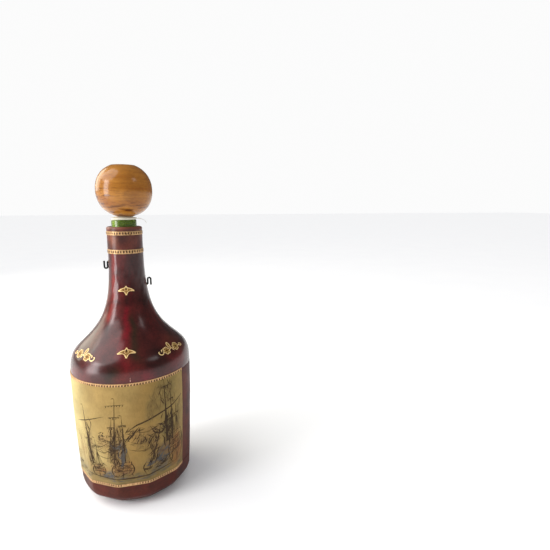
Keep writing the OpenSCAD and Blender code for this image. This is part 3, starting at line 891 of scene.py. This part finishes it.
def picture():
    """A harbour with three moored ships, drawn in sepia ink over thin washes of colour."""
    section = sheet_section(s_at(PANEL_LOW) - 0.4, s_at(PANEL_HIGH) + 0.4, PANEL_GAP, PANEL_TOP,
                            0.15, 0.75)
    sheet = sheet_piece("ship_picture", PANEL_LEFT, PANEL_RIGHT, section, 0.72)
    tint(sheet, panel_colour)
    dress(sheet, PAPER, "bottle", "parchment", "ship_panel")
    ink = Strokes(on_panel, PANEL_TOP, PANEL_TOP + 0.07)
    faint = Strokes(on_panel, PANEL_TOP, PANEL_TOP + 0.05)
    blue = Strokes(on_panel, PANEL_TOP, PANEL_TOP + 0.06)
    rng = np.random.default_rng(7)

    # Middle ship, seen from astern
    hull(ink, faint, -9, 38, 22, 15, 0.5)
    mast(ink, (-16, 55), (-12, 124), [(0.9, 9.5, 0.06), (0.72, 5, 0.05), (0.42, 9, -0.08)], rng, 1.3)
    mast(ink, (-20, 54), (-16, 104), [(0.8, 4, 0.0), (0.5, 6, 0.1)], rng, 1.1)
    mast(ink, (-6, 54), (-7, 106), [(0.8, 4, 0.0), (0.5, 6, -0.1)], rng, 1.1)
    # Left ship, leaning in towards the middle
    hull(ink, faint, -34, 37, 15, 12, 1.0)
    mast(ink, (-40, 50), (-47, 113), [(0.45, 5, 0.1)], rng, 1.8)
    mast(ink, (-33, 50), (-36, 80), [(0.7, 5, 0.1)], rng, 0.9)
    ink.curve(spots(-60, 92, -46, 97, -23, 105), [0.6, 1.2, 0.5])
    # Right ship, close up, with a long boom across it
    hull(ink, faint, 46, 38, 20, 34, 1.5)
    mast(ink, (35, 66), (33, 135), [(0.9, 4, 0.1), (0.35, 8, 0.2)], rng, 2.0)
    mast(ink, (41, 66), (39.5, 128), [(0.75, 3.5, 0.1), (0.4, 6, 0.15)], rng, 1.5)
    mast(ink, (47, 74), (45, 108), [(0.6, 4, 0.1)], rng, 1.0)
    ink.add(spots(-3, 88, 6, 94, 22, 99, 40, 104, 55, 111), [0.8, 1.7, 1.8, 1.6, 1.0],
            ends=0.6)
    # A lighter moored in front of the right ship, heeling, with a brailed sail
    ink.curve(spots(14, 40, 20, 56, 26, 78, 29, 92), [0.9, 1.5, 1.1, 0.5])
    ink.curve(spots(14, 58, 21, 62, 30, 63), [0.5, 1.2, 0.6])
    ink.curve(spots(13, 52, 10, 45, 13, 37), [0.9, 1.3, 0.4])
    ink.curve(spots(18, 90, 23, 81, 30, 80, 35, 88), [0.6, 1.6, 1.6, 0.5])
    # Spread sails and bunting of the middle ship
    blue.curve(spots(-20, 76, -14, 71, -8, 76), [1.0, 4.6, 0.8])
    blue.curve(spots(-8, 74, -7, 62, -9, 48), [1.0, 3.2, 0.8])
    ink.curve(spots(8, 92, 2, 84, -4, 76), [0.8, 2.2, 0.6])
    for low, high, y in ((-42, -18, 74), (-38, -16, 68), (-36, -12, 62), (0, 18, 76), (-2, 20, 68),
                         (2, 26, 88)):
        ink.curve(spots(low, y, (low + high) / 2, y - 3, high, y + rng.normal(0, 3)), 0.6)
    for kind, *place in THICKETS:
        thicket({"ink": ink, "faint": faint, "blue": blue}[kind], *place, rng)
    # Boats, and the far side of the harbour round to the left
    boat(blue, faint, -25, 38, 13)
    boat(ink, faint, 14, 43, 10)
    boat(ink, faint, -66, 42, 11)
    hull(ink, faint, -98, 40, 18, 16, 0.6)
    mast(ink, (-101, 54), (-100, 106), [(0.85, 5, 0.05), (0.6, 7, 0.04), (0.35, 8, 0.0)], rng)
    mast(ink, (-93, 54), (-93, 94), [(0.75, 4, 0.05), (0.5, 6, 0.0)], rng, 1.0)
    for k in range(9):
        x = at(-86 + 2.6 * k)
        high = rng.uniform(48, 57)
        faint.add([(x, 45), (x, high), (x + 2.0, high), (x + 2.0, 45)], 0.5, ends=1)
    # Ripples
    for _ in range(150):
        x = at(rng.uniform(PANEL_LEFT + 4, PANEL_RIGHT - 5))
        y = rng.triangular(31, 34, 42)
        half = rng.uniform(1.0, 4.5)
        (blue if rng.random() < 0.3 else faint).curve(
            [(x - half, y), (x, y + rng.normal(0.25, 0.25)), (x + half, y + rng.normal(0, 0.3))],
            [0.3, rng.uniform(0.5, 1.2), 0.3])
    ink.curve(spots(-56, 39, -30, 36.5, 0, 35.5, 28, 37.5, 52, 40), [0.5, 1.2, 1.8, 1.2, 0.5])
    for strokes, name, material in ((ink, "picture_ink", INK), (faint, "picture_shading", FAINT_INK),
                                    (blue, "picture_blue", BLUE_INK)):
        lay(strokes, name, material, "parchment")


# ---------------------------------------------------------------- gilt borders, bands and foils

def border(node, name, seed, rise, worn):
    """A gilt strip with short dark strokes like laid rope, from rise mm above its lower edge: the strokes
    are painted shade beneath the rope's twists, and worn(phi) says how far they have worn away."""
    low, high = cad(node, 0, 2), cad(node, 1, 2)
    section = sheet_section(s_at(low), s_at(high), 0.05, 0.5, 0.18, 0.5)
    strip = sheet_piece(name, PANEL_LEFT, PANEL_RIGHT, section, 1.0)
    dress(strip, GILT_BORDER, "bottle", "gilt_border", node)
    # Dark strokes: painted shade beneath the rope's twists.
    lines = Strokes(on_panel, 0.5, 0.62)
    rng = np.random.default_rng(seed)
    for phi in np.arange(PANEL_LEFT + 1.5, PANEL_RIGHT - 1, 2.55):
        keep = 1 - worn(phi)
        if keep <= 0.05:
            continue
        x = at(phi) + rng.normal(0, 0.08)
        lines.add([(x - 0.2, low + rise), (x, low + rise + 0.9), (x + 0.25, low + rise + 1.9)],
                  keep * np.array([1.5, 1.4, 0.6]) * rng.uniform(0.85, 1.1), **FINE)
    lay(lines, name + "_tooling_and_shade", TOOLED_AND_SHADE, "brown_leather")


def worn_above(phi):
    return 0.9 * (1 - smoothstep(-52, -36, phi))


def worn_below(phi):
    return 0.75 * smoothstep(-14, -9, phi) * (1 - smoothstep(3, 9, phi)) + 0.6 * smoothstep(36, 44, phi) \
        + 0.9 * (1 - smoothstep(-46, -38, phi))


def band(node, name, seed):
    """A gilt band round the neck, tooled with a row of dark lozenges."""
    low, high, radius = cad(node, 0, 2), cad(node, 1, 2), NECK_R + 0.28
    profile = rounded([(radius - 0.25, low), (radius, low), (radius, high), (radius - 0.25, high)],
                      [0, 0.15, 0.15, 0], 4)
    dress(lathe(name, profile, 180), GILT_STRIP, "bottle", "gilt_band", node)

    def place(x, y, lift):
        a = np.asarray(x) / radius
        r = radius + lift
        return np.stack([r * np.sin(a), -r * np.cos(a), np.broadcast_to(y, r.shape)], -1) * MM
    dots = Strokes(place, 0.0, 0.1)
    rng = np.random.default_rng(seed)
    count = 40
    pitch = 2 * math.pi * radius / count
    middle, half = (low + high) / 2, (high - low) / 2 - 0.5
    for k in range(count):
        x = k * pitch + rng.normal(0, 0.08)
        dots.add([(x, middle - half), (x, middle), (x, middle + half)],
                 [0.3, rng.uniform(1.6, 1.9), 0.3], step=0.3, ends=1)
    lay(dots, name + "_tooling_and_shade", TOOLED_AND_SHADE, "brown_leather")


def lily(node, name, phi, z, width, height):
    """A winged lily: bright outlines round old gilding, with a small dark eye."""
    place = on_leather(phi, z)
    w, h = width / 17.4, height / 12.5

    def drawn(side, *values):
        """Points from x, y, x, y and so on, on a lily 17.4 mm by 12.5, mirrored where side is -1."""
        return [(side * x * w, y * h) for x, y in zip(values[::2], values[1::2])]
    field, outline = Strokes(place, 0.04, 0.14), Strokes(place, 0.06, 0.22)
    field.add(drawn(1, 0, 4.4, 0, 2.6, 0, 0.6, 0, -1.6, 0, -5.0),
              [0.6, 4.4 * w, 6.2 * w, 3.0 * w, 1.2], **FINE)
    for side in (-1, 1):
        field.curve(drawn(side, 1.2, 1.4, 3.8, 1.0, 7.6, -0.5), [3.4, 2.7, 0.6], step=0.6, ends=1)
        outline.curve(drawn(side, 0, 5.4, 1.1, 3.4, 3.4, 2.5, 5.8, 1.3, 8.7, -1.0),
                      [0.9, 0.8, 0.75, 1.1, 1.0], **FINE)
        outline.curve(drawn(side, 8.7, -1.0, 6.2, -0.7, 3.6, -0.9, 1.7, -2.2, 0, -5.8),
                      [1.0, 1.3, 0.7, 0.7, 1.2], **FINE)
        outline.curve(drawn(side, 0.3, 3.0, 1.9, 1.1, 0.3, -1.0), 0.4, **FINE)
    lay(field, name, OLD_GILT, "gilt_foil", node)
    lay(outline, name + "_outline", GILT_FOIL, "gilt_foil")
    eye = Strokes(place, 0.18, 0.27)
    eye.add(drawn(1, 0, 2.9, 0, 2.1, 0, 0.7), [1.9, 1.5, 0.3], step=0.3, ends=1)
    lay(eye, name + "_eye", TOOLED_AND_SHADE, "brown_leather")


def flower(field, outline, eye, x, y, radius, petals, turn):
    """An open flower: a scalloped bright rim and petal lines round old gilding, and a dark eye."""
    u = np.linspace(-1, 1, 11)
    field.add([(x + radius * k, y) for k in u], 2 * radius * np.sqrt(1 - u * u) + 0.1, **FINE)
    a = np.radians(turn + np.linspace(0, 360, 61))
    rim = radius * (0.84 + 0.2 * np.abs(np.cos(petals / 2 * (a - math.radians(turn)))))
    outline.add(np.stack([x + rim * np.cos(a), y + rim * np.sin(a)], 1), 0.75, step=0.4, ends=1)
    for k in range(petals):
        b = math.radians(turn + 360 * (k + 0.5) / petals)
        outline.add([(x + reach * radius * math.cos(b), y + reach * radius * math.sin(b))
                     for reach in (0.4, 0.85)], 0.4, step=0.4, ends=1)
    eye.add([(x - 0.9, y), (x, y), (x + 0.9, y)], [0.6, 1.6, 0.6], step=0.3, ends=1)


def spray(node, name, phi, z, side):
    """A spray of two open flowers: a curled stem, an upright leaf between them and a bud at its tip."""
    place = on_leather(phi, z)

    def turned(x, y, lift):
        return place(side * x, y, lift)
    field, outline, eye = (Strokes(turned, low, high)
                           for low, high in ((0.04, 0.14), (0.06, 0.22), (0.16, 0.26)))
    outline.curve([(-16.6, 0.6), (-18.0, 0.2), (-18.2, -1.8), (-16.6, -3.2), (-14.2, -2.8),
                   (-12.7, -0.9)], [0.5, 0.9, 1.1, 1.1, 0.9, 0.8], **FINE)
    outline.curve([(-14.6, -0.4), (-13.9, 1.5), (-12.2, 2.2)], [0.6, 1.2, 0.5], **FINE)
    flower(field, outline, eye, -8.3, -0.3, 3.9, 6, 12)
    flower(field, outline, eye, 5.8, 0.2, 4.2, 7, 0)
    field.curve([(-1.6, 1.6), (-2.7, 4.2), (-2.6, 6.6)], [1.0, 3.2, 1.0], **FINE)
    outline.curve([(-1.2, 0.4), (-3.9, 3.2), (-3.5, 6.6), (-1.9, 7.9), (-0.9, 5.6), (-1.2, 0.4)],
                  [0.6, 0.9, 1.0, 0.9, 0.9, 0.6], **FINE)
    outline.curve([(-4.4, -0.6), (-1.2, 0.3), (1.6, -0.2)], 0.8, step=0.6, ends=1)
    outline.petal(-0.6, -0.4, -62, 3.6, 1.5)
    outline.curve([(10.0, -0.6), (12.2, -0.8), (13.4, -0.9)], 0.8, **FINE)
    field.add([(12.6, -1.0), (14.6, -1.0), (16.6, -1.6)], [1.2, 2.6, 0.5], **FINE)
    outline.curve([(12.6, -0.9), (14.4, 0.8), (17.4, -1.7), (14.4, -2.5), (12.6, -0.9)], 0.8, **FINE)
    lay(field, name, OLD_GILT, "gilt_foil", node)
    lay(outline, name + "_outline", GILT_FOIL, "gilt_foil")
    lay(eye, name + "_eyes", TOOLED_AND_SHADE, "brown_leather")


def nick():
    """A small worn nick in the shoulder's leather, just above the picture."""
    mark = Strokes(on_leather(NICK_PHI, NICK_Z), 0.0, 0.1)
    mark.add([(0.3, 1.9), (0, 0), (0.2, -1.9)], [0.2, 0.7, 0.9], **FINE)
    lay(mark, "worn_nick", WORN_EDGE, "red_leather")


# ---------------------------------------------------------------- hooks and eyelets

def eyelet(node, name, side):
    """A small brass eyelet with a rolled rim, sunk in the leather."""
    low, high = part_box(node)
    z = (low.z + high.z) / 2 / MM
    out = (high.x if side > 0 else -low.x) / MM
    seat = (low.x if side > 0 else -high.x) / MM
    hole, face = 0.97, out + 0.12
    profile = rounded([(hole, seat + 0.3), (2.4, seat + 0.3), (2.4, seat + 0.5), (1.7, seat + 0.6),
                       (1.8, face), (hole, face)], [0, 0.1, 0.1, 0.1, 0.4, 0.3], 5)
    piece = lathe(name, profile, 40)
    piece.data.transform(Euler((0, math.radians(90 * side), 0)).to_matrix().to_4x4())
    for v in piece.data.vertices:
        v.co.z += z * MM
    dress(piece, BRASS, "bottle", "eyelet_brass", node)


def hook(node, name, body, side, up):
    """A bent wire hook: a headed shank, an elbow, a leg, a half-round bend and a blunt, thicker tip."""
    low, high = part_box(node)
    wire, bend, drop, elbow = 0.9, 1.6, 5.4, 1.0
    joint = next(j for j in frame["record"]["behaviour"]["joints"] if j["child"] == body)
    pivot = joint["pos_m"][2] / MM
    head = min(abs(low.x), abs(high.x)) / MM
    leg = max(abs(low.x), abs(high.x)) / MM - wire - 0.15 - 2 * bend
    a = np.radians(np.linspace(0, 90, 8))
    b = np.radians(np.linspace(0, 180, 18))
    path = [(head, 0), (head + 0.25, 0), (head + 0.3, 0), (leg - elbow - 0.3, 0)]
    path += [(leg - elbow + elbow * math.sin(t), -elbow + elbow * math.cos(t)) for t in a]
    path += [(leg, -elbow - (drop - elbow) * t) for t in (0.3, 0.65)]
    path += [(leg + bend - bend * math.cos(t), -drop - bend * math.sin(t)) for t in b]
    path += [(leg + 2 * bend, -drop + t) for t in (1.4, 3.0, 4.4, 5.3, 5.9, 6.2, 6.35)]
    head_radii, tip_radii = [1.3, 1.3], [wire + 0.03, wire + 0.08, wire + 0.13, 0.8, 0.3]
    radii = head_radii + [wire] * (len(path) - 7) + tip_radii
    turn = -1 if up else 1
    points = [(side * x * MM, 0, (pivot + turn * z) * MM) for x, z in path]
    piece = tube(name, points, np.array(radii) * MM)
    dress(piece, WIRE, body, "dark_wire", node)


# ---------------------------------------------------------------- stopper

def stopper():
    lip_z = cad("glass_bottle", 1, 2)
    lip_r, bore_r = cad("stopper_plug", 1, 0), 9.2
    ball_low, ball_top = cad("stopper_ball", 0, 2), cad("stopper_ball", 1, 2)
    ball_r = (cad("stopper_ball", 1, 0) - cad("stopper_ball", 0, 0)) / 2
    ball_x = (cad("stopper_ball", 1, 0) + cad("stopper_ball", 0, 0)) / 2
    low = cad("stopper_plug", 0, 2)
    ribs = []
    for k in range(4):
        z = low + 3.5 + k * 4.5
        ribs += [(bore_r - 0.45, z - 0.3), (bore_r - 0.1, z + 0.3), (bore_r, z + 1.0),
                 (bore_r - 0.1, z + 1.7), (bore_r - 0.45, z + 2.3)]
    hollow_r, boss_r, peg_r, gap = 7.2, 9, 4, 0.06
    flange = rounded([(bore_r - 0.4, lip_z + gap), (lip_r, lip_z + gap), (lip_r, lip_z + 2.1),
                      (boss_r, lip_z + 2.6), (boss_r, ball_low - gap)], [0, 0.5, 0.9, 0.5, 0], 5)
    peg = [(peg_r, ball_low - gap), (peg_r, ball_low + 12), (3.2, ball_low + 13), (0, ball_low + 13)]
    profile = [(hollow_r, low), (8.3, low), (bore_r - 0.5, low + 2)] + ribs + flange + peg \
        + [(0, lip_z + 1.5), (hollow_r, lip_z + 1.5)]
    dress(lathe("plug", profile, 96), PLASTIC, "stopper", "white_plastic", "stopper_plug")

    # A squarish ball whose top is cut off flat, and its underside a little
    square, cut_top, cut_under = 2.2, 1.8, 0.6
    half_h = (ball_top + cut_top - ball_low + cut_under) / 2
    middle = ball_top + cut_top - half_h
    a = np.radians(np.linspace(-90, 90, 73))
    body = [(ball_r * max(math.cos(t), 0) ** (2 / square),
             middle + half_h * math.copysign(abs(math.sin(t)) ** (2 / square), t)) for t in a]
    body = [(r, z) for r, z in body if ball_low < z < ball_top - 0.4]
    rim = body[-1][0]
    body += [(rim - 0.8, ball_top - 0.15), (rim - 1.8, ball_top - 0.02), (rim - 3, ball_top),
             (0, ball_top)]
    hole = [(0, ball_low + 14), (4.06, ball_low + 14), (4.06, ball_low + 0.3), (4.3, ball_low)]
    profile = hole + [(body[0][0] - 0.3, ball_low)] + body
    shift = np.r_[np.zeros(len(hole)), np.full(len(profile) - len(hole), ball_x)]
    ball = lathe("ball", profile, 128, shift, closed=False)

    def checks_and_shade(phi, z):
        """How far the dark checks show: low down, where they are painted shade on the underside, and most
        on the left of the front.
        """
        across = np.exp(-(((phi + 60) / 52) ** 2)) * smoothstep(2, 9, z - ball_low)
        side = 0.12 + 0.88 * across * (1 - smoothstep(26, 34, z - ball_low))
        # The strong checks round the underside are painted shade.
        return np.maximum(side, 0.85 * (1 - smoothstep(6, 22, z - ball_low)))[:, None] * np.ones(3)
    tint(ball, checks_and_shade)
    dress(ball, WOOD, "stopper", "honey_wood", "stopper_ball")

    # Thin tongue of moulding waste that curves out from the flange and down
    t = np.linspace(0, 1, 22)
    start = np.array([lip_r - 0.8, 0, lip_z + 1.5])
    out, drop = cad("stopper_strand", 1, 0) - lip_r - 0.3, lip_z - cad("stopper_strand", 0, 2)
    path = [(start + [out * math.sin(u * 1.45), 0, -(drop + 1.0) * (1 - math.cos(u * 1.45))]) * MM
            for u in t]
    radii = (0.28 + 0.1 * np.sin(t * 9)) * (1 - 0.55 * t) * MM
    strand = tube("moulding_strand", path, radii, side_scale=2.2, segments=12)
    dress(strand, PLASTIC, "stopper", "white_plastic", "stopper_strand")


# ---------------------------------------------------------------- build

leather_pieces()
collar_piece()
glass_piece()
base_piece()
picture()
border("panel_border_top", "top_border", 51, 0.2, worn_above)
border("panel_border_bottom", "bottom_border", 52, 0.75, worn_below)
band("neck_band_upper", "upper_band", 61)
band("neck_band_lower", "lower_band", 62)
lily("neck_fleur", "neck_lily", 0, 222.3, 15.8, 10.4)
lily("shoulder_fleur", "shoulder_lily", 0, 166, 17.4, 12.5)
spray("spray_right", "right_spray", 52.5, 161.5, 1)
spray("spray_left", "left_spray", -52.5, 161.5, -1)
nick()
eyelet("eyelet_left", "left_eyelet", -1)
eyelet("eyelet_right", "right_eyelet", 1)
hook("hook_left", "left_wire_hook", "left_hook", -1, False)
hook("hook_right", "right_wire_hook", "right_hook", 1, True)
stopper()

# ---------------------------------------------------------------- floor, light and camera


def floor():
    ground = Shade("floor", Specular_IOR_Level=0.1)
    ground.set("Base Color", ground.ramp(ground.noise(6, 2), [(0.3, (0.945, 0.945, 0.95)),
                                                              (0.7, (0.96, 0.96, 0.96))]))
    ground.rough(9, 2, 0.75, 0.85)
    half_m, rows = 12, 25
    reach = np.linspace(-half_m, half_m, rows)
    x, y = np.meshgrid(reach, reach, indexing="ij")
    points = np.stack([x, y, np.zeros_like(x)], -1)
    plane = make("floor", points, grid_faces(rows, rows, False, False))
    plane.data.materials.append(ground.material)


BOTTLE_MIDDLE = (0, 0, 0.2)


def lamp(name, kind, position, aim, power, colour):
    light = bpy.data.lights.new(name, kind)
    light.energy, light.color = power, colour
    holder = bpy.data.objects.new(name, light)
    holder.location = position
    holder.rotation_euler = (Vector(aim) - Vector(position)).to_track_quat("-Z", "Y").to_euler()
    bpy.context.scene.collection.objects.link(holder)
    return light


def softbox(name, position, width, height, power, colour=(1, 1, 1)):
    light = lamp(name, "AREA", position, BOTTLE_MIDDLE, power, colour)
    light.shape, light.size, light.size_y = "RECTANGLE", width, height


def daylight(position, strength, spread):
    """Very soft light from far away, so that the floor is equally bright everywhere."""
    light = lamp("daylight", "SUN", position, (0, 0, 0), strength, (1, 1, 1))
    light.angle = math.radians(spread)


def world():
    """White behind the object, an even grey to light it, and a dim room reflected in its gloss."""
    w = bpy.data.worlds.new("studio")
    bpy.context.scene.world = w
    w.use_nodes = True
    nodes, links = w.node_tree.nodes, w.node_tree.links
    nodes.clear()
    rays = nodes.new("ShaderNodeLightPath")
    shader = None
    for colour, strength, kind in (((0.98, 0.985, 1.0), 0.57, None),
                                   ((1.0, 0.97, 0.95), 0.1, "Is Glossy Ray"),
                                   ((1.0, 1.0, 1.0), 0.97, "Is Camera Ray")):
        part = nodes.new("ShaderNodeBackground")
        part.inputs["Color"].default_value = (*colour, 1)
        part.inputs["Strength"].default_value = strength
        if kind:
            mix = nodes.new("ShaderNodeMixShader")
            links.new(rays.outputs[kind], mix.inputs["Fac"])
            links.new(shader, mix.inputs[1])
            links.new(part.outputs["Background"], mix.inputs[2])
            shader = mix.outputs["Shader"]
        else:
            shader = part.outputs["Background"]
    links.new(shader, nodes.new("ShaderNodeOutputWorld").inputs["Surface"])


def camera():
    """At the photograph's viewing angle: 460 mm away, 6 degrees to the right of the bottle's front."""
    away, height, side = 0.4601, 0.3101, math.radians(6)
    down, right = math.radians(90 - 9.85), math.radians(-14.1)
    data = bpy.data.cameras.new("camera")
    data.sensor_width, data.lens = 36.0, 26.82
    data.clip_start = 0.01
    cam = bpy.data.objects.new("camera", data)
    cam.location = (away * math.sin(side), -away * math.cos(side), height)
    cam.rotation_euler = (down, 0, right)
    bpy.context.scene.collection.objects.link(cam)
    bpy.context.scene.camera = cam


floor()
daylight((-1.2, -0.2, 1.35), 1.85, 55)
softbox("window", (-1.15, -0.42, 0.42), 0.46, 1.0, 11.5, (1.0, 0.98, 0.99))
softbox("back_window", (-1.0, 0.75, 0.75), 0.9, 0.9, 8, (1.0, 0.96, 0.8))
softbox("right_card", (0.85, -0.6, 1.05), 0.3, 0.3, 0.7)
world()
camera()
bpy.context.scene.view_settings.view_transform = "Standard"
